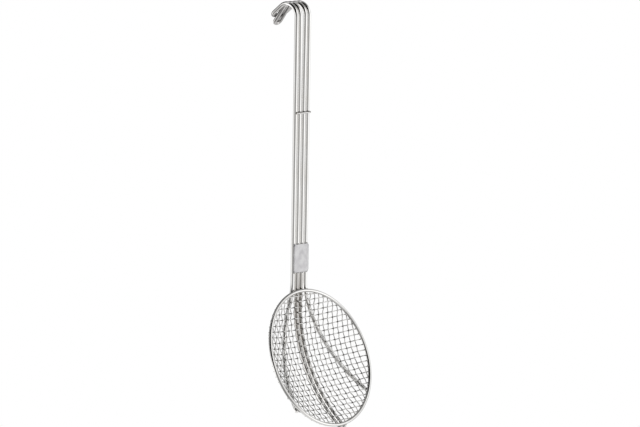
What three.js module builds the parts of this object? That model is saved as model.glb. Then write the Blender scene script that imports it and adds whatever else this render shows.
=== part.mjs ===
// Wire skimmer: a shallow woven bowl on four long rods that end in a hanging hook.
// Millimetres. +Z runs up the handle, +X across the rods, +Y to the back.
// The origin is the seat of the hook, where a rail bears on the middle of the bend.

import * as THREE from "three";

// Wire diameters and the gap kept between pieces that touch
const rimWire = 4;
const rodWire = 4.75;
const meshWire = 1.2;
const tieWire = 2.4;
const clearance = 0.35;

// Bowl
const rimDiameter = 165; // outside of the rim ring
const bowlDepth = 22.5; // rim plane to the middle of the woven mesh
const bowlTilt = 22.15; // degrees the bowl leans forward from the line of the handle

// Woven mesh
const crossWireCount = 25;
const longWireCount = 24;
const crossEdge = 3.2; // from the inside of the rim to the outermost cross wires
const longEdge = 7.6; // from the inside of the rim to the outermost long wires
const longShift = 0.8; // sideways offset of the cloth in the rim
const longSpread = 0.075; // share by which the long wires stand further apart at the rim
const longLean = 1.9; // degrees the long wires lean in the rim
const crossLean = -0.55; // degrees the cross wires lean in the rim

// Handle
const handleLength = 320; // rim to the start of the hook
const rodGap = 2.4; // clear space between neighbouring rods
const rimBend = 12; // length of rod bent on each side of the rim
const hookParting = 1.8; // how much wider the inner rods stand at the hook
const partingLength = 85; // length of handle over which they part

// Legs of the rods under the mesh
const outerFootAngle = 50.8; // degrees round the rim from its far point
const footTurn = 5.1; // degrees all the feet sit round to one side
const innerFootPast = 4.4; // cut ends past the middle of the rim
const outerFootPast = 1.5;

// Hook
const hookRadius = 14.5; // to the middle of the rods
const innerHookTurn = 143.5; // degrees
const innerHookEnd = 19.5; // straight length before the end loop
const outerHookEnd = 13;
const outerCorner = 8; // bend radius where the outer wire crosses behind the inner one

// Tie wire and plate on the front of the rods
const tieHeight = 209; // above the rim
const tieInset = 1.8; // ends short of the sides of the outer rods
const plateHeight = 40; // centre of the plate above the rim
const plateWidth = 25;
const plateLength = 33;
const plateThickness = 1;
const plateCorner = 3;

// Fineness of the round wires
const rodSides = 10;
const meshSides = 5;
const rimSteps = 72;
const legSteps = 16;
const hookSteps = 12;
const turnSteps = 10;
const bendSteps = 6;

const radians = THREE.MathUtils.degToRad;
const vector = (x, y, z) => new THREE.Vector3(x, y, z);

// Places that follow from the sizes
const handleY = -hookRadius;
const hookStartZ = rodWire / 2 - hookRadius;
const rimZ = hookStartZ - handleLength;
const rodPitch = rodWire + rodGap;
const loopWidth = rodPitch + hookParting;
const rimRadius = rimDiameter / 2 - rimWire / 2;
const rimInside = rimRadius - rimWire / 2;
const meshSphere = (rimRadius ** 2 + bowlDepth ** 2) / (2 * bowlDepth);
const meshLift = meshWire / 2 + clearance / 2; // wires pass this far above and below the middle
const rimSlope = Math.asin(rimRadius / meshSphere);
const rodDrop = (rimWire / 2 + rodWire / 2 + clearance) / Math.cos(rimSlope);
const legDepth = bowlDepth + meshLift + meshWire / 2 + clearance + rodWire / 2;
const legSphere = (rimRadius ** 2 + (legDepth - rodDrop) ** 2) / (2 * (legDepth - rodDrop));

// Bowl frame: across the rim, from the handle to the far side, and out of the opening
const tilt = radians(bowlTilt);
const across = vector(1, 0, 0);
const along = vector(0, -Math.sin(tilt), -Math.cos(tilt));
const outward = vector(0, -Math.cos(tilt), Math.sin(tilt));
const rimCentre = vector(0, handleY, rimZ)
  .addScaledVector(along, rimRadius)
  .addScaledVector(outward, rodDrop);

function bowlPoint(u, v, height) {
  return rimCentre
    .clone()
    .addScaledVector(across, u)
    .addScaledVector(along, v)
    .addScaledVector(outward, height);
}

// Steel wire with round section along a path of points, closed at both ends or into a ring
function wireGeometry(path, diameter, sides, isRing = false) {
  const count = path.length;
  const at = (i) => (isRing ? path[(i + count) % count] : path[THREE.MathUtils.clamp(i, 0, count - 1)]);
  const positions = [];
  const indices = [];
  let side = null;
  for (let i = 0; i < count; i++) {
    const tangent = at(i + 1).clone().sub(at(i - 1)).normalize();
    side ??= Math.abs(tangent.x) < 0.8 ? across.clone() : vector(0, 1, 0);
    side.addScaledVector(tangent, -side.dot(tangent)).normalize();
    const other = tangent.clone().cross(side);
    for (let k = 0; k < sides; k++) {
      const angle = (2 * Math.PI * k) / sides;
      const point = path[i]
        .clone()
        .addScaledVector(side, (diameter / 2) * Math.cos(angle))
        .addScaledVector(other, (diameter / 2) * Math.sin(angle));
      positions.push(point.x, point.y, point.z);
    }
  }
  const spans = isRing ? count : count - 1;
  for (let i = 0; i < spans; i++) {
    const here = i * sides;
    const next = ((i + 1) % count) * sides;
    for (let k = 0; k < sides; k++) {
      const turn = (k + 1) % sides;
      indices.push(here + k, here + turn, next + turn);
      indices.push(here + k, next + turn, next + k);
    }
  }
  if (!isRing) {
    const last = (count - 1) * sides;
    for (let k = 1; k < sides - 1; k++) {
      indices.push(0, k + 1, k);
      indices.push(last, last + k, last + k + 1);
    }
  }
  const geometry = new THREE.BufferGeometry();
  geometry.setAttribute("position", new THREE.Float32BufferAttribute(positions, 3));
  geometry.setIndex(indices);
  geometry.computeVertexNormals();
  return geometry;
}

// Rim ring
function rimGeometry() {
  const path = [];
  for (let i = 0; i < rimSteps; i++) {
    const angle = (2 * Math.PI * i) / rimSteps;
    path.push(bowlPoint(rimRadius * Math.sin(angle), rimRadius * Math.cos(angle), 0));
  }
  return wireGeometry(path, rimWire, rodSides, true);
}

// Woven mesh: a point over the dish, lifted square to it
function meshPoint(u, v, lift) {
  const flat = Math.sqrt(meshSphere ** 2 - u ** 2 - v ** 2);
  const near = 1 - lift / meshSphere;
  return bowlPoint(u * near, v * near, meshSphere - bowlDepth - flat * near);
}

// Both families are spaced evenly along the dish, which draws the outer wires in a little
const placeAt = (arc) => meshSphere * Math.sin(arc / meshSphere);
const arcTo = (place) => meshSphere * Math.asin(place / meshSphere);
const crossReach = arcTo(rimInside - crossEdge);
const longReach = arcTo(rimInside - longEdge);
const crossPitch = (2 * crossReach) / (crossWireCount - 1);
const longPitch = (2 * longReach) / (longWireCount - 1);

// A running point of one wire, in the plan of the rim
const longSlope = Math.tan(radians(longLean));
const crossSlope = Math.tan(radians(crossLean));
const spread = (v) => 1 + longSpread * (v / rimRadius) ** 2;
const longBase = (i) => placeAt(i * longPitch - longReach + longShift);
const crossBase = (j) => placeAt(j * crossPitch - crossReach);
const longPlan = (i, run) => [longBase(i) * spread(run) + longSlope * run, run];
const crossPlan = (j, run) => [run, crossBase(j) + crossSlope * run];

// Number of the crossing wire at a plan point, with a fraction between two wires
const longNumber = (u, v) => (arcTo((u - longSlope * v) / spread(v)) - longShift + longReach) / longPitch;
const crossNumber = (u, v) => (arcTo(v - crossSlope * u) + crossReach) / crossPitch;

// How far from the middle of the rim the outer edge of a wire lies
const longOutside = (u, v) => Math.hypot(Math.abs(u) + meshWire / 2, v);
const crossOutside = (u, v) => Math.hypot(u, Math.abs(v) + meshWire / 2);

// Over one wire and under the next, straight in between
function weave(number, parity) {
  const step = Math.floor(number);
  const sign = (step + parity) % 2 === 0 ? 1 : -1;
  return meshLift * sign * (1 - 2 * (number - step));
}

// Value between low and high where a measure reaches a limit that it is under at low
function runTo(limit, measure, low, high) {
  for (let i = 0; i < 48; i++) {
    const middle = (low + high) / 2;
    if (measure(middle) < limit) low = middle;
    else high = middle;
  }
  return low;
}

// One woven wire: its ends inside the rim, and a point at each crossing between them
function wovenGeometry(index, plan, number, outside, parity) {
  const outsideAt = (run) => outside(...plan(index, run));
  const numberAt = (run) => number(...plan(index, run));
  const limit = rimInside - clearance;
  const start = runTo(limit, outsideAt, 0, -rimRadius);
  const end = runTo(limit, outsideAt, 0, rimRadius);
  const runs = [start];
  for (let k = Math.ceil(numberAt(start) + 0.1); k <= numberAt(end) - 0.1; k++) {
    runs.push(runTo(k, numberAt, start, end));
  }
  runs.push(end);
  const path = runs.map((run) => meshPoint(...plan(index, run), weave(numberAt(run), parity)));
  return wireGeometry(path, meshWire, meshSides);
}

const longGeometry = (i) => wovenGeometry(i, longPlan, crossNumber, longOutside, i);
const crossGeometry = (j) => wovenGeometry(j, crossPlan, longNumber, crossOutside, j + 1);

// Middle of a leg under the mesh at a plan point
function legPoint(u, v) {
  const flat = Math.sqrt(legSphere ** 2 - u ** 2 - v ** 2);
  return bowlPoint(u, v, legSphere - legDepth - flat);
}

// Foot of a leg, just past the rim, in the plan of the rim
function footPlan(angle, sideways, past) {
  const reach = rimRadius + past;
  return new THREE.Vector2(reach * Math.sin(angle) + sideways, reach * Math.cos(angle));
}

// One rod from its foot, under the mesh and the rim, up to the start of the hook
function rodPath(rimX, hookX, foot) {
  const crossing = new THREE.Vector2(rimX, -rimRadius);
  const span = foot.distanceTo(crossing);
  const path = [];
  for (let i = 0; i <= legSteps; i++) {
    const plan = foot.clone().lerp(crossing, (i / legSteps) * (1 - rimBend / span));
    path.push(legPoint(plan.x, plan.y));
  }
  const corner = vector(rimX, handleY, rimZ);
  const upper = vector(rimX, handleY, rimZ + rimBend);
  const bend = new THREE.QuadraticBezierCurve3(path.at(-1), corner, upper);
  path.push(...bend.getPoints(bendSteps).slice(1));
  path.push(vector(rimX, handleY, hookStartZ - partingLength));
  path.push(vector(hookX, handleY, hookStartZ));
  return path;
}

// The hook's bend and straight end in the plane of one rod
function hookPath(x, turn, straight) {
  const path = [];
  for (let i = 1; i <= hookSteps; i++) {
    const angle = (turn * i) / hookSteps;
    path.push(vector(x, -hookRadius * Math.cos(angle), hookStartZ + hookRadius * Math.sin(angle)));
  }
  path.push(path.at(-1).clone().addScaledVector(hookDirection(turn), straight));
  return path;
}

const hookDirection = (turn) => vector(0, Math.sin(turn), Math.cos(turn));

// Turn from the left strand to the right one at the end of the hook, with two round corners
function returnPath(leftEnd, rightEnd, direction, corner) {
  const path = [];
  const corners = [
    [leftEnd, corner, Math.PI],
    [rightEnd, -corner, Math.PI / 2],
  ];
  for (const [end, shift, first] of corners) {
    const centre = end.clone().addScaledVector(across, shift);
    for (let i = 0; i <= turnSteps / 2; i++) {
      const angle = first - (Math.PI * i) / turnSteps;
      path.push(
        centre
          .clone()
          .addScaledVector(across, corner * Math.cos(angle))
          .addScaledVector(direction, corner * Math.sin(angle)),
      );
    }
  }
  return path;
}

// One handle wire: up one rod, round the end of the hook and down the other rod
function hairpinGeometry(rimX, hookX, leg, hook) {
  const strand = (sign) => {
    const foot = footPlan(radians(sign * leg.angle + footTurn), sign * leg.sideways, leg.past);
    return [...rodPath(sign * rimX, sign * hookX, foot), ...hookPath(sign * hookX, hook.turn, hook.straight)];
  };
  const left = strand(-1);
  const right = strand(1);
  const back = returnPath(left.at(-1), right.at(-1), hookDirection(hook.turn), hook.corner);
  const path = [...left, ...back, ...right.reverse()];
  const apart = path.filter((point, i) => i === 0 || point.distanceTo(path[i - 1]) > 0.01);
  return wireGeometry(apart, rodWire, rodSides);
}

// The outer wire turns less, so that its end crosses just behind the inner wire
const crossingReach = outerHookEnd + outerCorner;
const crossingBehind = hookRadius + rodWire + clearance;
const lessTurn =
  Math.atan2(crossingReach, hookRadius) -
  Math.acos(crossingBehind / Math.hypot(crossingReach, hookRadius));
const innerTurn = radians(innerHookTurn);

const innerLeg = { angle: 0, sideways: rodPitch / 2, past: innerFootPast };
const outerLeg = { angle: outerFootAngle, sideways: 0, past: outerFootPast };
const innerHook = { turn: innerTurn, straight: innerHookEnd, corner: loopWidth / 2 };
const outerHook = { turn: innerTurn - lessTurn, straight: outerHookEnd, corner: outerCorner };
const innerWire = hairpinGeometry(rodPitch / 2, loopWidth / 2, innerLeg, innerHook);
const outerWire = hairpinGeometry(1.5 * rodPitch, 1.5 * rodPitch, outerLeg, outerHook);

// Tie wire across the front of the rods
function tieGeometry() {
  const half = 1.5 * rodPitch + rodWire / 2 - tieInset;
  const y = handleY - rodWire / 2 - clearance - tieWire / 2;
  const z = rimZ + tieHeight;
  return wireGeometry([vector(-half, y, z), vector(half, y, z)], tieWire, rodSides);
}

// Flat plate with round corners on the front of the rods
function plateGeometry() {
  const [w, h, r] = [plateWidth / 2, plateLength / 2, plateCorner];
  const outline = new THREE.Shape();
  outline.absarc(w - r, h - r, r, 0, Math.PI / 2);
  outline.absarc(r - w, h - r, r, Math.PI / 2, Math.PI);
  outline.absarc(r - w, r - h, r, Math.PI, 1.5 * Math.PI);
  outline.absarc(w - r, r - h, r, 1.5 * Math.PI, 2 * Math.PI);
  return new THREE.ExtrudeGeometry(outline, { depth: plateThickness, bevelEnabled: false, curveSegments: 5 });
}

// Assembly
const skimmer = new THREE.Group();
const steel = (color, roughness) => new THREE.MeshStandardMaterial({ color, roughness, metalness: 1 });

function add(name, geometry, material) {
  const mesh = new THREE.Mesh(geometry, material);
  mesh.name = name;
  skimmer.add(mesh);
  return mesh;
}

const numbered = (name, index) => `${name}_${String(index + 1).padStart(2, "0")}`;

add("outer_handle_wire", outerWire, steel(0xd4d3d0, 0.22));
add("inner_handle_wire", innerWire, steel(0xd4d3d0, 0.22));
add("cross_tie", tieGeometry(), steel(0xcfcecb, 0.28));
add("rim_ring", rimGeometry(), steel(0xcfcecb, 0.25));
const plate = add("name_plate", plateGeometry(), steel(0xc2c1bd, 0.45));
plate.rotation.x = Math.PI / 2;
plate.position.set(0, handleY - rodWire / 2 - clearance, rimZ + plateHeight);
for (let i = 0; i < longWireCount; i++) {
  add(numbered("long_mesh_wire", i), longGeometry(i), steel(0xc6c5c1, 0.3));
}
for (let j = 0; j < crossWireCount; j++) {
  add(numbered("cross_mesh_wire", j), crossGeometry(j), steel(0xc6c5c1, 0.3));
}

export default skimmer;
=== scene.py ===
import math

import bmesh
import bpy
from mathutils import Matrix, Vector, noise


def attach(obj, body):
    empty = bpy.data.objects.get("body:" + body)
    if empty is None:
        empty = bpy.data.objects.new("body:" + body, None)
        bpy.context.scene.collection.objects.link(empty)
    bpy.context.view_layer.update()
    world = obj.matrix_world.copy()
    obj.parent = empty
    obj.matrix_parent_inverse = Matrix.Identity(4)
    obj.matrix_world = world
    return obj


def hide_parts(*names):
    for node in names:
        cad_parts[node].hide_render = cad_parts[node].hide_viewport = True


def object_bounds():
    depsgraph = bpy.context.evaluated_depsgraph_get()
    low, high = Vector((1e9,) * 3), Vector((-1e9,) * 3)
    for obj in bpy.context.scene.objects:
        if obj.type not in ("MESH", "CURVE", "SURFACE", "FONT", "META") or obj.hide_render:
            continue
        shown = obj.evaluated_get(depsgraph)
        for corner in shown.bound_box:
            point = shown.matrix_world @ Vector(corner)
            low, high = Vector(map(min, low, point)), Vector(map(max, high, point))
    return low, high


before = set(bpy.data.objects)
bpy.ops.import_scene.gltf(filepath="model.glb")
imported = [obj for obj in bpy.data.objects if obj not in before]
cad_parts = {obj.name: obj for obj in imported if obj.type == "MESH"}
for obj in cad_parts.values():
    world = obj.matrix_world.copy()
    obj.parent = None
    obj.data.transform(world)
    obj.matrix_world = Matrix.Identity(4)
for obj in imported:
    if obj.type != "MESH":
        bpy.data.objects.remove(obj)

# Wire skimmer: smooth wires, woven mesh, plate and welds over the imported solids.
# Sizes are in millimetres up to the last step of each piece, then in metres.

cad_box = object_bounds()

MM = 0.001

# Wires
RIM_WIRE = 4.0
ROD_WIRE = 4.75
MESH_WIRE = 1.2
TIE_WIRE = 2.4
CLEARANCE = 0.35  # gap that the solids keep, filled by the welds here
END_ROUNDING = 0.12  # of a wire's diameter, at its cut ends

# Bowl and mesh
RIM_RADIUS = 80.5  # to the middle of the wire
BOWL_DEPTH = 22.5
BOWL_TILT = math.radians(22.15)
CROSS_WIRES = 25
LONG_WIRES = 24
CROSS_EDGE = 3.2
LONG_EDGE = 7.6
LONG_SHIFT = 0.8
LONG_SPREAD = 0.075
LONG_SLOPE = math.tan(math.radians(1.9))
CROSS_SLOPE = math.tan(math.radians(-0.55))
MESH_PAST = 0.7  # cut ends past the middle of the rim
MESH_SCATTER = 0.4  # of the cut ends
BESIDE_ROD = 5.5  # a mesh wire that ends this near to a rod is cut short

# Handle and hook
HANDLE_LENGTH = 320.0
ROD_PITCH = ROD_WIRE + 2.4
ROD_PLACES = (-1.5, -0.5, 0.5, 1.5)  # across the handle, in pitches
RIM_BEND = 12.0
HOOK_PARTING = 1.8
PARTING_LENGTH = 85.0
OUTER_FOOT_ANGLE = math.radians(50.8)
FOOT_TURN = math.radians(5.1)
INNER_FOOT_PAST = 4.4
OUTER_FOOT_PAST = 1.5
HOOK_RADIUS = 14.5
HOOK_TURN = math.radians(143.5)
INNER_HOOK_END = 19.5
OUTER_HOOK_END = 13.0
OUTER_CORNER = 8.0

# Tie and plate
TIE_HEIGHT = 209.0
TIE_INSET = 1.8
PLATE_HEIGHT = 40.0
PLATE_WIDTH = 25.0
PLATE_LENGTH = 33.0
PLATE_THICKNESS = 1.0
PLATE_CORNER = 3.0

# Steps along curved paths
RIM_STEPS = 144
LEG_STEPS = 32
BEND_STEPS = 12
HOOK_STEPS = 28
CORNER_STEPS = 10

# Places that follow from the sizes
HANDLE_Y = -HOOK_RADIUS
HOOK_START_Z = ROD_WIRE / 2 - HOOK_RADIUS
RIM_Z = HOOK_START_Z - HANDLE_LENGTH
LOOP_WIDTH = ROD_PITCH + HOOK_PARTING
RIM_INSIDE = RIM_RADIUS - RIM_WIRE / 2
MESH_SPHERE = (RIM_RADIUS**2 + BOWL_DEPTH**2) / (2 * BOWL_DEPTH)
MESH_LIFT = MESH_WIRE / 2 + 0.02  # crossing wires just touch
RIM_SLOPE = math.asin(RIM_RADIUS / MESH_SPHERE)
ROD_DROP = (RIM_WIRE / 2 + ROD_WIRE / 2 + CLEARANCE) / math.cos(RIM_SLOPE)
LEG_DEPTH = BOWL_DEPTH + 1.5 * MESH_WIRE / 2 + 1.5 * CLEARANCE + MESH_WIRE / 4 + ROD_WIRE / 2
LEG_SPHERE = (RIM_RADIUS**2 + (LEG_DEPTH - ROD_DROP) ** 2) / (2 * (LEG_DEPTH - ROD_DROP))
UNDER_RIM = -(RIM_WIRE + MESH_WIRE) / 2  # height of a mesh wire that passes under the rim

ACROSS = Vector((1, 0, 0))
ALONG = Vector((0, -math.sin(BOWL_TILT), -math.cos(BOWL_TILT)))
OUTWARD = Vector((0, -math.cos(BOWL_TILT), math.sin(BOWL_TILT)))
RIM_CENTRE = Vector((0, HANDLE_Y, RIM_Z)) + ALONG * RIM_RADIUS + OUTWARD * ROD_DROP
ROD_FRONT = HANDLE_Y - ROD_WIRE / 2


def bowl_point(u, v, height):
    return RIM_CENTRE + ACROSS * u + ALONG * v + OUTWARD * height


# Mesh helpers

def new_piece(name, vertices, faces, material, smooth=True, nodes=()):
    """A mesh in metres that rides on the part and stands for its CAD nodes."""
    mesh = bpy.data.meshes.new(name)
    mesh.from_pydata([vertex * MM for vertex in vertices], [], faces)
    mesh.polygons.foreach_set("use_smooth", [smooth] * len(mesh.polygons))
    piece = bpy.data.objects.new(name, mesh)
    bpy.context.scene.collection.objects.link(piece)
    mesh.materials.append(material)
    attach(piece, "root")
    if nodes:
        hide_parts(*nodes)
    return piece


def sections(path, is_ring):
    """Middle, sideways and other direction of the wire's section at each point of a path."""
    count = len(path)
    side = None
    frames = []
    for i, point in enumerate(path):
        if is_ring:
            tangent = path[(i + 1) % count] - path[i - 1]
        else:
            tangent = path[min(i + 1, count - 1)] - path[max(i - 1, 0)]
        tangent.normalize()
        if side is None:
            side = Vector((0, 1, 0)) if abs(tangent.x) > 0.8 else ACROSS.copy()
        side = (side - tangent * side.dot(tangent)).normalized()
        frames.append((point, tangent, side, tangent.cross(side)))
    return frames


def rounded_loops(frames, diameter, is_ring):
    """The sections of a wire with the radius of each; cut ends are slightly rounded."""
    radius = diameter / 2
    loops = [(*frame_at, radius) for frame_at in frames]
    if not is_ring:
        round_off = END_ROUNDING * diameter
        first, last = frames[0], frames[-1]
        loops[0] = (first[0] + first[1] * round_off, *first[1:], radius)
        loops[-1] = (last[0] - last[1] * round_off, *last[1:], radius)
        loops.insert(0, (*first, radius - round_off))
        loops.append((*last, radius - round_off))
    return loops


def lengths_along(loops, is_ring):
    """The length of wire up to each loop, and once round for a ring."""
    lengths = [0.0]
    for before, after in zip(loops, loops[1:]):
        lengths.append(lengths[-1] + (after[0] - before[0]).length)
    if is_ring:
        lengths.append(lengths[-1] + (loops[0][0] - loops[-1][0]).length)
    return lengths


def tube_faces(lengths, count, sides, girth):
    """The faces between the loops of a wire, and their corners unrolled in millimetres."""
    faces = []
    corners = []
    for i in range(len(lengths) - 1):
        here, there = i * sides, (i + 1) % count * sides
        for k in range(sides):
            turn = (k + 1) % sides
            faces.append((here + k, here + turn, there + turn, there + k))
            corners += [(lengths[i], k * girth), (lengths[i], (k + 1) * girth)]
            corners += [(lengths[i + 1], (k + 1) * girth), (lengths[i + 1], k * girth)]
    return faces, corners


def wire(name, path, diameter, sides, material, node, is_ring=False, crossing=None):
    """A round wire along a path, mapped in millimetres.

    The crossing values of a woven wire, one for each point of its path, go to the mesh as well.
    """
    loops = rounded_loops(sections(path, is_ring), diameter, is_ring)
    vertices = []
    for middle, _, side, other, radius in loops:
        for k in range(sides):
            angle = 2 * math.pi * k / sides
            vertices.append(middle + (side * math.cos(angle) + other * math.sin(angle)) * radius)
    lengths = lengths_along(loops, is_ring)
    faces, corners = tube_faces(lengths, len(loops), sides, math.pi * diameter / sides)
    if not is_ring:
        faces.append(tuple(reversed(range(sides))))
        faces.append(tuple(range(len(vertices) - sides, len(vertices))))
        corners += [(0, 0.1 * k) for k in range(sides)] * 2
    piece = new_piece(name, vertices, faces, material, nodes=(node,))
    layer = piece.data.uv_layers.new(name="millimetres")
    layer.data.foreach_set("uv", [value for corner in corners for value in corner])
    if not is_ring:
        for polygon in list(piece.data.polygons)[-2:]:
            polygon.use_smooth = False
    if crossing:
        values = [0.0, *crossing, 0.0]
        layer = piece.data.attributes.new("crossing", "FLOAT", "POINT")
        layer.data.foreach_set("value", [value for value in values for _ in range(sides)])
    return piece


# Rim

def rim_path():
    turns = [2 * math.pi * i / RIM_STEPS for i in range(RIM_STEPS)]
    return [bowl_point(RIM_RADIUS * math.sin(t), RIM_RADIUS * math.cos(t), 0) for t in turns]


# Handle wires

def leg_point(plan):
    flat = math.sqrt(LEG_SPHERE**2 - plan.length_squared)
    return bowl_point(plan.x, plan.y, LEG_SPHERE - LEG_DEPTH - flat)


def foot_plan(angle, sideways, past):
    reach = RIM_RADIUS + past
    return Vector((reach * math.sin(angle) + sideways, reach * math.cos(angle)))


def rod_path(rim_x, hook_x, foot):
    """One rod from its foot, under the mesh and the rim, up to the start of the hook."""
    crossing = Vector((rim_x, -RIM_RADIUS))
    share = 1 - RIM_BEND / (crossing - foot).length
    path = [leg_point(foot.lerp(crossing, share * i / LEG_STEPS)) for i in range(LEG_STEPS + 1)]
    start = path[-1]
    corner = Vector((rim_x, HANDLE_Y, RIM_Z))
    upper = corner + Vector((0, 0, RIM_BEND))
    for i in range(1, BEND_STEPS + 1):
        t = i / BEND_STEPS
        path.append(start * (1 - t) ** 2 + corner * 2 * t * (1 - t) + upper * t**2)
    low = Vector((rim_x, HANDLE_Y, HOOK_START_Z - PARTING_LENGTH))
    top = Vector((hook_x, HANDLE_Y, HOOK_START_Z))
    path += [upper.lerp(low, i / 8) for i in range(1, 9)]
    path += [low.lerp(top, i / 6) for i in range(1, 7)]
    return path


def hook_direction(turn):
    return Vector((0, math.sin(turn), math.cos(turn)))


def hook_path(x, turn, straight):
    path = []
    for i in range(1, HOOK_STEPS + 1):
        angle = turn * i / HOOK_STEPS
        y = -HOOK_RADIUS * math.cos(angle)
        path.append(Vector((x, y, HOOK_START_Z + HOOK_RADIUS * math.sin(angle))))
    path.append(path[-1] + hook_direction(turn) * straight)
    return path


def return_path(left, right, direction, corner):
    """From the left strand to the right one at the end of the hook, by two round corners."""
    path = []
    for end, shift, first in ((left, corner, math.pi), (right, -corner, math.pi / 2)):
        for i in range(CORNER_STEPS + 1):
            angle = first - math.pi / 2 * i / CORNER_STEPS
            sideways = ACROSS * (shift + corner * math.cos(angle))
            path.append(end + sideways + direction * corner * math.sin(angle))
    return path


def hairpin_path(rim_x, hook_x, feet, turn, straight, corner):
    strands = []
    for sign, foot in zip((-1, 1), feet):
        rod = rod_path(sign * rim_x, sign * hook_x, foot)
        strands.append(rod + hook_path(sign * hook_x, turn, straight))
    left, right = strands
    path = left + return_path(left[-1], right[-1], hook_direction(turn), corner) + right[::-1]
    apart = [path[0]]
    for point in path[1:]:
        if (point - apart[-1]).length > 0.01:
            apart.append(point)
    return apart


INNER_FEET = [foot_plan(FOOT_TURN, sign * ROD_PITCH / 2, INNER_FOOT_PAST) for sign in (-1, 1)]
OUTER_FEET = [foot_plan(sign * OUTER_FOOT_ANGLE + FOOT_TURN, 0, OUTER_FOOT_PAST) for sign in (-1, 1)]


def outer_turn():
    """The outer wire turns less, so that its end crosses just behind the inner wire."""
    reach = OUTER_HOOK_END + OUTER_CORNER
    behind = HOOK_RADIUS + ROD_WIRE + CLEARANCE
    span = math.hypot(reach, HOOK_RADIUS)
    return HOOK_TURN - (math.atan2(reach, HOOK_RADIUS) - math.acos(behind / span))


# Woven mesh

def mesh_point(u, v, lift):
    """A point of the dish, lifted square to it; near the rim the wires bend to pass under it."""
    flat = math.sqrt(MESH_SPHERE**2 - u**2 - v**2)
    near = 1 - lift / MESH_SPHERE
    height = MESH_SPHERE - BOWL_DEPTH - flat * near
    return bowl_point(u * near, v * near, min(height, UNDER_RIM))


def place_at(arc):
    return MESH_SPHERE * math.sin(arc / MESH_SPHERE)


def arc_to(place):
    return MESH_SPHERE * math.asin(place / MESH_SPHERE)


CROSS_REACH = arc_to(RIM_INSIDE - CROSS_EDGE)
LONG_REACH = arc_to(RIM_INSIDE - LONG_EDGE)
CROSS_PITCH = 2 * CROSS_REACH / (CROSS_WIRES - 1)
LONG_PITCH = 2 * LONG_REACH / (LONG_WIRES - 1)


def spread(v):
    """Long wires stand a little further apart towards their ends."""
    return 1 + LONG_SPREAD * (v / RIM_RADIUS) ** 2


def long_plan(i, run):
    return place_at(i * LONG_PITCH - LONG_REACH + LONG_SHIFT) * spread(run) + LONG_SLOPE * run, run


def cross_plan(j, run):
    return run, place_at(j * CROSS_PITCH - CROSS_REACH) + CROSS_SLOPE * run


def long_number(u, v):
    return (arc_to((u - LONG_SLOPE * v) / spread(v)) - LONG_SHIFT + LONG_REACH) / LONG_PITCH


def cross_number(u, v):
    return (arc_to(v - CROSS_SLOPE * u) + CROSS_REACH) / CROSS_PITCH


def run_to(plan, index, reach, sign):
    """How far along its line a wire meets a circle in the plan of the rim."""
    near, far = 0.0, sign * (RIM_RADIUS + ROD_WIRE)
    for _ in range(40):
        middle = (near + far) / 2
        if math.hypot(*plan(index, middle)) < reach:
            near = middle
        else:
            far = middle
    return near


def mesh_reach(u, v, seed):
    """How far a wire's end runs: cut roughly flush with the rim, or short of it beside a rod."""
    plan = Vector((u, v))
    rods = [Vector((place * ROD_PITCH, -RIM_RADIUS)) for place in ROD_PLACES]
    if any((plan - rod).length < BESIDE_ROD for rod in rods + INNER_FEET + OUTER_FEET):
        return RIM_INSIDE - 0.2
    return RIM_RADIUS + MESH_PAST + MESH_SCATTER * math.sin(37.0 * seed)


def woven_path(index, plan, number, parity):
    """The path of a crimped wire, with its lift at each point, from -1 to 1."""
    ends = []
    for sign in (-1, 1):
        at_rim = plan(index, run_to(plan, index, RIM_RADIUS, sign))
        reach = mesh_reach(*at_rim, index + 0.5 + 0.2 * sign)
        ends.append(run_to(plan, index, reach, sign))
    low, high = ends
    steps = max(12, round((high - low) / LONG_PITCH * 8))
    path = []
    lifts = []
    for i in range(steps + 1):
        u, v = plan(index, low + (high - low) * i / steps)
        inside = min(1.0, max(0.0, (RIM_INSIDE - math.hypot(u, v)) / LONG_PITCH))
        lifts.append(math.cos(math.pi * (number(u, v) + parity)) * inside)
        path.append(mesh_point(u, v, MESH_LIFT * lifts[-1]))
    return path, lifts


def add_mesh_wires(material):
    for i in range(LONG_WIRES):
        node = f"long_mesh_wire_{i + 1:02d}"
        path, lifts = woven_path(i, long_plan, cross_number, i)
        wire(node + "_crimped", path, MESH_WIRE, 8, material, node, crossing=lifts)
    for j in range(CROSS_WIRES):
        node = f"cross_mesh_wire_{j + 1:02d}"
        path, lifts = woven_path(j, cross_plan, long_number, j + 1)
        under = [-lift for lift in lifts]
        wire(node + "_crimped", path, MESH_WIRE, 8, material, node, crossing=under)


# Plate

def plate_outline(inset=0.0):
    w, h = PLATE_WIDTH / 2 - inset, PLATE_LENGTH / 2 - inset
    r = PLATE_CORNER - inset
    outline = []
    for x, z, first in ((1, 1, 0), (-1, 1, 90), (-1, -1, 180), (1, -1, 270)):
        for i in range(9):
            angle = math.radians(first + 90 * i / 8)
            outline.append((x * (w - r) + r * math.cos(angle), z * (h - r) + r * math.sin(angle)))
    return outline


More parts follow.
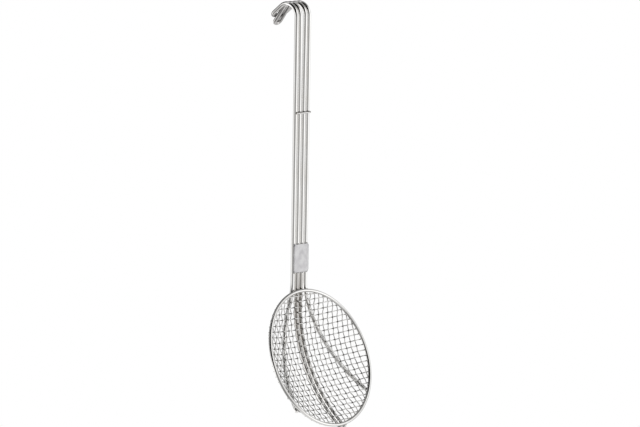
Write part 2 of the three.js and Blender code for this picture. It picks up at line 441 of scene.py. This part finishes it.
def add_plate(material):
    """A thin sheet with rounded edges, pulled in a little where it is welded to the rods."""
    front = ROD_FRONT - CLEARANCE - PLATE_THICKNESS
    centre_z = RIM_Z + PLATE_HEIGHT
    rounding = 0.25
    edge = [(0.0, rounding), (0.4 * rounding, 0.3 * rounding), (rounding, 0.0)]
    rings = [(inset, PLATE_THICKNESS - depth) for inset, depth in reversed(edge)] + edge
    vertices = []
    for inset, depth in rings:
        vertices += [Vector((x, front + depth, centre_z + z)) for x, z in plate_outline(inset)]
    face_rings = 14
    for i in range(1, face_rings):
        share = 1 - i / face_rings
        for x, z in plate_outline(rounding):
            x, z = x * share, z * share
            vertices.append(Vector((x, front + weld_dent(x, z), centre_z + z)))
    count = len(plate_outline())
    faces = [tuple(range(count))]
    for ring in range(len(rings) + face_rings - 2):
        here, there = ring * count, (ring + 1) * count
        for k in range(count):
            turn = (k + 1) % count
            faces.append((here + turn, here + k, there + k, there + turn))
    faces.append(tuple(range(len(vertices) - 1, len(vertices) - count - 1, -1)))
    return new_piece("name_plate_sheet", vertices, faces, material, nodes=("name_plate",))


def weld_dent(x, z):
    depth = 0.0
    for place in ROD_PLACES:
        for row in (-0.33, 0.33):
            away = math.hypot(x - place * ROD_PITCH, z - row * PLATE_LENGTH)
            depth += 0.12 * math.exp(-((away / 1.5) ** 2))
    return depth


# Welds

def bead(form, middle, directions, sizes):
    """One uneven bead of weld metal, with its three half sizes along three directions."""
    matrix = Matrix([direction.normalized() * size for direction, size in zip(directions, sizes)])
    made = bmesh.ops.create_icosphere(form, subdivisions=3, radius=1.0)["verts"]
    for vertex in made:
        uneven = 1 + 0.14 * noise.noise(vertex.co * 1.7 + middle)
        vertex.co = middle + matrix.transposed() @ (vertex.co * uneven)


def add_beads(name, places, material):
    form = bmesh.new()
    for place in places:
        bead(form, *place)
    form.verts.index_update()
    vertices = [vertex.co.copy() for vertex in form.verts]
    faces = [[vertex.index for vertex in face.verts] for face in form.faces]
    form.free()
    return new_piece(name, vertices, faces, material)


def rod_front_welds(height, depth):
    """Beads at one height, one on the front of each rod."""
    axes = (ACROSS, Vector((0, 1, 0)), Vector((0, 0, 1)))
    y = ROD_FRONT - CLEARANCE / 2
    middles = [Vector((place * ROD_PITCH, y, height)) for place in ROD_PLACES]
    return [(middle, axes, (1.5, depth, 1.5)) for middle in middles]


def plate_welds():
    """Beads behind the lower and upper edge of the plate."""
    centre_z = RIM_Z + PLATE_HEIGHT
    to_edge = (PLATE_LENGTH - 1) / 2
    return rod_front_welds(centre_z - to_edge, 0.7) + rod_front_welds(centre_z + to_edge, 0.7)


def rim_welds(path):
    """Beads where a rod passes closest under the rim, at the handle and at its foot."""
    welds = []
    for end in (-1, 1):
        best = None
        for point in path:
            place = point - RIM_CENTRE
            u, v = place.dot(ACROSS), place.dot(ALONG)
            if v * end <= 0:
                continue
            ring = Vector((u, v)).normalized() * RIM_RADIUS
            middle = bowl_point(ring.x, ring.y, 0)
            if best is None or (point - middle).length < (best[0] - best[1]).length:
                best = (point, middle)
        point, middle = best
        down = (point - middle).normalized()
        round_rim = (middle - RIM_CENTRE).cross(OUTWARD).normalized()
        contact = middle + down * (RIM_WIRE + CLEARANCE) / 2
        welds.append((contact, (round_rim, down.cross(round_rim), down), (2.6, 1.9, 1.0)))
    return welds


def mesh_welds():
    """Small beads between the rim and each mesh wire that passes under it."""
    welds = []
    lines = [(long_plan, i) for i in range(LONG_WIRES)] + [(cross_plan, j) for j in range(CROSS_WIRES)]
    for plan, index in lines:
        for sign in (-1, 1):
            u, v = plan(index, run_to(plan, index, RIM_RADIUS - 0.8, sign))
            outwards = (ACROSS * u + ALONG * v).normalized()
            axes = (outwards, OUTWARD.cross(outwards), OUTWARD)
            welds.append((bowl_point(u, v, -RIM_WIRE / 2 + 0.1), axes, (1.1, 0.85, 0.6)))
    return welds


# Materials

class Nodes:
    """A small helper to add and join the nodes of one material."""

    def __init__(self, name):
        self.material = bpy.data.materials.new(name)
        self.material.use_nodes = True
        self.tree = self.material.node_tree
        self.shader = self.tree.nodes["Principled BSDF"]

    def add(self, kind, **values):
        node = self.tree.nodes.new(kind)
        for key, value in values.items():
            setattr(node, key, value)
        return node

    def join(self, source, target):
        self.tree.links.new(source, target)

    def noise(self, vector, scale, detail, stretch=(1, 1, 1)):
        mapping = self.add("ShaderNodeMapping")
        mapping.inputs["Scale"].default_value = stretch
        self.join(vector, mapping.inputs["Vector"])
        texture = self.add("ShaderNodeTexNoise")
        texture.inputs["Scale"].default_value = scale
        texture.inputs["Detail"].default_value = detail
        self.join(mapping.outputs["Vector"], texture.inputs["Vector"])
        return texture.outputs["Fac"]

    def ramp(self, value, stops):
        ramp = self.add("ShaderNodeValToRGB")
        elements = ramp.color_ramp.elements
        while len(elements) < len(stops):
            elements.new(0.5)
        for element, (place, tone) in zip(elements, stops):
            element.position = place
            element.color = (*tone, 1)
        self.join(value, ramp.inputs["Fac"])
        return ramp.outputs["Color"]

    def span(self, value, low, high, first=0.3, last=0.7):
        scaled = self.add("ShaderNodeMapRange")
        scaled.inputs["From Min"].default_value = first
        scaled.inputs["From Max"].default_value = last
        scaled.inputs["To Min"].default_value = low
        scaled.inputs["To Max"].default_value = high
        self.join(value, scaled.inputs["Value"])
        return scaled.outputs["Result"]

    def away(self, place, axis, middle):
        """How far a place is from a height, or from a middle along another axis."""
        parts = self.add("ShaderNodeSeparateXYZ")
        self.join(place, parts.inputs["Vector"])
        compare = self.add("ShaderNodeMath", operation="SUBTRACT")
        self.join(parts.outputs[axis], compare.inputs[0])
        compare.inputs[1].default_value = middle
        size = self.add("ShaderNodeMath", operation="ABSOLUTE")
        self.join(compare.outputs[0], size.inputs[0])
        return size.outputs[0]

    def tint(self, colour, tone, amount):
        mix = self.add("ShaderNodeMix", data_type="RGBA", blend_type="MULTIPLY")
        self.join(amount, mix.inputs["Factor"])
        self.join(colour, mix.inputs["A"])
        mix.inputs["B"].default_value = (*tone, 1)
        return mix.outputs["Result"]

    def bump(self, height, strength, distance):
        bump = self.add("ShaderNodeBump")
        bump.inputs["Strength"].default_value = strength
        bump.inputs["Distance"].default_value = distance
        self.join(height, bump.inputs["Height"])
        self.join(bump.outputs["Normal"], self.shader.inputs["Normal"])

    def finish(self, colour, roughness):
        self.shader.inputs["Metallic"].default_value = 1.0
        self.join(colour, self.shader.inputs["Base Color"])
        self.join(roughness, self.shader.inputs["Roughness"])
        return self.material


def drawn_wire(name, dark, light, smoothest, roughest, paints_crossing_shade=False, shade_bands=()):
    """Bright drawn wire: fine lines from the die along its length, and faint stains across it.

    Woven wire also gets painted shade, darker where a long wire presses on a cross wire. Each band
    of painted shade is given by an axis, its middle on that axis, how far from there it is full and
    where it ends, in millimetres, and its tone.
    """
    nodes = Nodes(name)
    along = nodes.add("ShaderNodeUVMap", uv_map="millimetres").outputs["UV"]
    place = nodes.add("ShaderNodeTexCoord").outputs["Object"]
    lines = nodes.noise(along, 1.0, 5, stretch=(0.035, 3.2, 1))
    stains = nodes.noise(place, 55.0, 4)
    colour = nodes.ramp(lines, [(0.3, dark), (0.62, light)])
    colour = nodes.tint(colour, (0.93, 0.91, 0.88), nodes.span(stains, 0.0, 0.5))
    # painted shade: the woven wire is darker where a long wire passes over a cross wire
    if paints_crossing_shade:
        lift = nodes.add("ShaderNodeAttribute", attribute_name="crossing").outputs["Fac"]
        colour = nodes.tint(colour, (0.32, 0.31, 0.3), nodes.span(lift, 0.0, 1.0, 0.72, 0.95))
    # painted shade: each band darkens the wire along one axis
    for axis, middle, full, none, tone in shade_bands:
        away = nodes.away(place, axis, middle * MM)
        colour = nodes.tint(colour, tone, nodes.span(away, 1.0, 0.0, full * MM, none * MM))
    nodes.bump(lines, 0.06, 0.00006)
    return nodes.finish(colour, nodes.span(lines, smoothest, roughest))


def satin_sheet(name):
    """Satin sheet with a fine brushed grain across it and smears of the welding."""
    nodes = Nodes(name)
    place = nodes.add("ShaderNodeTexCoord").outputs["Object"]
    grain = nodes.noise(place, 1000.0, 6, stretch=(0.12, 1, 4.5))
    stains = nodes.noise(place, 110.0, 3)
    colour = nodes.ramp(grain, [(0.3, (0.47, 0.467, 0.47)), (0.7, (0.54, 0.537, 0.54))])
    colour = nodes.tint(colour, (0.76, 0.75, 0.77), nodes.span(stains, 0.0, 1.0, 0.4, 0.7))
    nodes.bump(grain, 0.1, 0.00006)
    return nodes.finish(colour, nodes.span(grain, 0.34, 0.46))


def weld_metal(name):
    """Dull uneven weld metal with a faint straw and blue heat tint."""
    nodes = Nodes(name)
    place = nodes.add("ShaderNodeTexCoord").outputs["Object"]
    lumps = nodes.noise(place, 700.0, 5)
    heat = nodes.noise(place, 240.0, 2)
    straw, grey, blue = (0.50, 0.47, 0.42), (0.55, 0.54, 0.52), (0.47, 0.48, 0.52)
    colour = nodes.ramp(heat, [(0.3, straw), (0.5, grey), (0.7, blue)])
    colour = nodes.tint(colour, (0.75, 0.73, 0.7), nodes.span(lumps, 0.0, 0.6))
    nodes.bump(lumps, 0.3, 0.0002)
    return nodes.finish(colour, nodes.span(lumps, 0.32, 0.55))


# Stage

CAMERA_AZIMUTH = math.radians(-48.78)
CAMERA_ELEVATION = math.radians(7.47)
CAMERA_ROLL = math.radians(0.92)
CAMERA_DISTANCE = 6.0
CAMERA_TARGET = Vector((0.03516, -0.01476, -0.243655))
PICTURE_WIDTH = 640
PIXELS_PER_METRE = 862.5  # at the target
ALL_ROUND_LIGHT = 0.5  # on matt things; the overhead light gives the rest
FLOOR_DROP = 0.5  # below the hanging bowl
FLOOR_RADIUS = 0.45

flat_back = math.cos(CAMERA_ELEVATION)
BACK = Vector((
    math.sin(CAMERA_AZIMUTH) * flat_back,
    -math.cos(CAMERA_AZIMUTH) * flat_back,
    math.sin(CAMERA_ELEVATION),
))
RIGHT = Vector((math.cos(CAMERA_AZIMUTH), math.sin(CAMERA_AZIMUTH), 0))
UP = BACK.cross(RIGHT)


def add_camera():
    data = bpy.data.cameras.new("camera")
    data.sensor_width = 36
    data.lens = data.sensor_width * PIXELS_PER_METRE * CAMERA_DISTANCE / PICTURE_WIDTH
    data.clip_end = 100
    camera = bpy.data.objects.new("camera", data)
    c, s = math.cos(CAMERA_ROLL), math.sin(CAMERA_ROLL)
    turned = Matrix((RIGHT * c + UP * s, UP * c - RIGHT * s, BACK)).transposed()
    camera.matrix_world = Matrix.Translation(CAMERA_TARGET + BACK * CAMERA_DISTANCE) @ turned.to_4x4()
    bpy.context.scene.collection.objects.link(camera)
    bpy.context.scene.camera = camera


def seen_rays(tree):
    """1 for rays from the camera, for those mirrored in metal, and for those seen through glass."""
    path = tree.nodes.new("ShaderNodeLightPath")
    return [path.outputs[f"Is {kind} Ray"] for kind in ("Camera", "Glossy", "Transmission")]


def combined(tree, operation, *values):
    result = values[0]
    for value in values[1:]:
        node = tree.nodes.new("ShaderNodeMath")
        node.operation = operation
        tree.links.new(result, node.inputs[0])
        tree.links.new(value, node.inputs[1])
        result = node.outputs[0]
    return result


def room_direction(turn, rise):
    """From the object towards a place so many degrees to the right of the camera and above it."""
    turn, rise = math.radians(turn), math.radians(rise)
    flat_way = RIGHT * math.sin(turn) + BACK * math.cos(turn)
    return flat_way * math.cos(rise) + UP * math.sin(rise)


def room_part(tree, direction, turn, rise, edge, core, level):
    """Light from each direction: 1 outside the edge of a part of the room, and its level at the core."""
    toward = tree.nodes.new("ShaderNodeVectorMath")
    toward.operation = "DOT_PRODUCT"
    toward.inputs[1].default_value = room_direction(turn, rise)
    tree.links.new(direction, toward.inputs[0])
    lobe = tree.nodes.new("ShaderNodeMapRange")
    lobe.interpolation_type = "SMOOTHSTEP"
    lobe.inputs["From Min"].default_value = math.cos(math.radians(edge))
    lobe.inputs["From Max"].default_value = math.cos(math.radians(core))
    lobe.inputs["To Min"].default_value = 1.0
    lobe.inputs["To Max"].default_value = level
    tree.links.new(toward.outputs["Value"], lobe.inputs["Value"])
    return lobe.outputs["Result"]


# Dark and bright parts of a made-up room that the metal mirrors, in degrees seen from the object:
# turn to the right of the camera, rise above it, edge and core of the part, and its level of light
ROOM_PARTS = (
    (-25, 40, 40, 35, 0.0),  # dark ceiling above the camera
    (10, 50, 30, 25, 0.05),  # the same, to the right
    (-25, 10, 25, 20, 0.0),  # dark stand to the left of the camera
    (-65, 15, 20, 15, 0.3),  # dim corner above the left lamp
    (-135, 30, 40, 30, 0.1),  # dark ceiling behind, to the left
    (145, 70, 45, 25, 0.3),  # dim ceiling overhead
    (-5, -5, 65, 35, 0.45),  # grey wall behind the camera
    (155, -35, 70, 45, 0.75),  # shaded lower half of the white backdrop
    (-60, -55, 40, 35, 0.35),  # dim ground in front, to the left
    (-70, -20, 25, 15, 1.35),  # left lamp, its dim front part
    (-105, -25, 25, 10, 1.8),  # left lamp, its bright rear part
    (90, -10, 30, 15, 1.75),  # right lamp
    (60, 45, 40, 20, 1.45),  # bright panel high on the right
)


def add_world():
    """White surroundings. Metal mirrors the parts of the room round the camera instead."""
    world = bpy.data.worlds.new("studio")
    bpy.context.scene.world = world
    world.use_nodes = True
    tree = world.node_tree
    background = tree.nodes["Background"]
    background.inputs["Color"].default_value = (1, 1, 1, 1)
    camera, glossy, through = seen_rays(tree)
    direction = tree.nodes.new("ShaderNodeTexCoord").outputs["Generated"]
    room = combined(tree, "MULTIPLY", *(room_part(tree, direction, *part) for part in ROOM_PARTS))
    mix = tree.nodes.new("ShaderNodeMix")
    mix.inputs["A"].default_value = ALL_ROUND_LIGHT
    tree.links.new(combined(tree, "MAXIMUM", camera, glossy, through), mix.inputs["Factor"])
    tree.links.new(combined(tree, "MAXIMUM", room, camera, through), mix.inputs["B"])
    tree.links.new(mix.outputs["Result"], background.inputs["Strength"])


def add_floor():
    height = cad_box[0].z - FLOOR_DROP
    mesh = bpy.data.meshes.new("floor")
    turns = [2 * math.pi * i / 96 for i in range(96)]
    edge = [(FLOOR_RADIUS * math.cos(t), FLOOR_RADIUS * math.sin(t), height) for t in turns]
    mesh.from_pydata(edge, [], [tuple(range(96))])
    floor = bpy.data.objects.new("floor", mesh)
    bpy.context.scene.collection.objects.link(floor)
    material = bpy.data.materials.new("pale_floor")
    material.use_nodes = True
    tree = material.node_tree
    shader = tree.nodes["Principled BSDF"]
    shader.inputs["Base Color"].default_value = (0.82, 0.82, 0.82, 1)
    shader.inputs["Roughness"].default_value = 0.9
    shader.inputs["Specular IOR Level"].default_value = 0.0
    shader.inputs["Emission Color"].default_value = (1, 1, 1, 1)
    camera, glossy, through = seen_rays(tree)
    glow = tree.nodes.new("ShaderNodeMath")
    glow.operation = "MULTIPLY"
    glow.inputs[1].default_value = 0.25
    tree.links.new(combined(tree, "MAXIMUM", camera, glossy, through), glow.inputs[0])
    tree.links.new(glow.outputs[0], shader.inputs["Emission Strength"])
    mesh.materials.append(material)


def add_sun():
    data = bpy.data.lights.new("overhead_light", "SUN")
    data.energy = (1 - ALL_ROUND_LIGHT) * math.pi
    data.angle = math.radians(60)
    sun = bpy.data.objects.new("overhead_light", data)
    toward = RIGHT * -0.25 + UP * 0.85 - BACK * 0.45
    sun.rotation_mode = "QUATERNION"
    sun.rotation_quaternion = toward.to_track_quat("Z", "Y")
    sun.visible_glossy = False
    bpy.context.scene.collection.objects.link(sun)


# Assembly
rod_tones = ((0.71, 0.705, 0.695), (0.8, 0.795, 0.785), 0.03, 0.09)
# painted shade: the inner legs darker under the mesh of the bowl
bowl_leg_shade = ("Z", RIM_Z - 30, 25, 85, (0.56, 0.54, 0.52))
# painted shade: the hook's end strands a little darker
hook_end_shade = ("Y", 20, 10, 18, (0.72, 0.71, 0.71))
# painted shade: the outer wire's crossing bar darker behind the inner strands
crossing_bar_shade = ("Y", 28, 3.5, 6.5, (0.2, 0.19, 0.19))
outer_steel = drawn_wire("outer_rod_steel", *rod_tones, shade_bands=(hook_end_shade, crossing_bar_shade))
inner_steel = drawn_wire("inner_rod_steel", *rod_tones, shade_bands=(hook_end_shade, bowl_leg_shade))
rim_tones = ((0.62, 0.615, 0.605), (0.73, 0.725, 0.715), 0.1, 0.2)
# painted shade: a dark line along the top of the tie
tie_top_shade = ("Z", RIM_Z + TIE_HEIGHT + TIE_WIRE / 2, 0.6, 1.3, (0.28, 0.27, 0.26))
rim_steel = drawn_wire("bright_rim_steel", *rim_tones)
tie_steel = drawn_wire("tie_wire_steel", *rim_tones, shade_bands=(tie_top_shade,))
mesh_steel = drawn_wire("mesh_wire_steel", (0.54, 0.535, 0.525), (0.71, 0.705, 0.695), 0.10, 0.2, True)
plate_steel = satin_sheet("satin_plate_steel")
weld_steel = weld_metal("weld_metal")

outer_path = hairpin_path(
    1.5 * ROD_PITCH, 1.5 * ROD_PITCH, OUTER_FEET, outer_turn(), OUTER_HOOK_END, OUTER_CORNER
)
inner_path = hairpin_path(
    ROD_PITCH / 2, LOOP_WIDTH / 2, INNER_FEET, HOOK_TURN, INNER_HOOK_END, LOOP_WIDTH / 2
)
wire("outer_handle_rod", outer_path, ROD_WIRE, 24, outer_steel, "outer_handle_wire")
wire("inner_handle_rod", inner_path, ROD_WIRE, 24, inner_steel, "inner_handle_wire")
wire("rim_wire", rim_path(), RIM_WIRE, 24, rim_steel, "rim_ring", is_ring=True)

tie_half = 1.5 * ROD_PITCH + ROD_WIRE / 2 - TIE_INSET
tie_y = ROD_FRONT - CLEARANCE - TIE_WIRE / 2
tie_ends = [Vector((side * tie_half, tie_y, RIM_Z + TIE_HEIGHT)) for side in (-1, 1)]
tie_path = [tie_ends[0].lerp(tie_ends[1], i / 12) for i in range(13)]
wire("tie_wire", tie_path, TIE_WIRE, 20, tie_steel, "cross_tie")
add_plate(plate_steel)
add_mesh_wires(mesh_steel)

half = len(outer_path) // 2
rod_welds = []
for path in (outer_path, inner_path):
    rod_welds += rim_welds(path[:half]) + rim_welds(path[half:])
add_beads("tie_welds", rod_front_welds(RIM_Z + TIE_HEIGHT, 0.75), weld_steel)
add_beads("plate_welds", plate_welds(), weld_steel)
add_beads("rod_welds", rod_welds, weld_steel)
add_beads("mesh_welds", mesh_welds(), weld_steel)

add_camera()
add_world()
add_floor()
add_sun()
bpy.context.scene.view_settings.view_transform = "Standard"
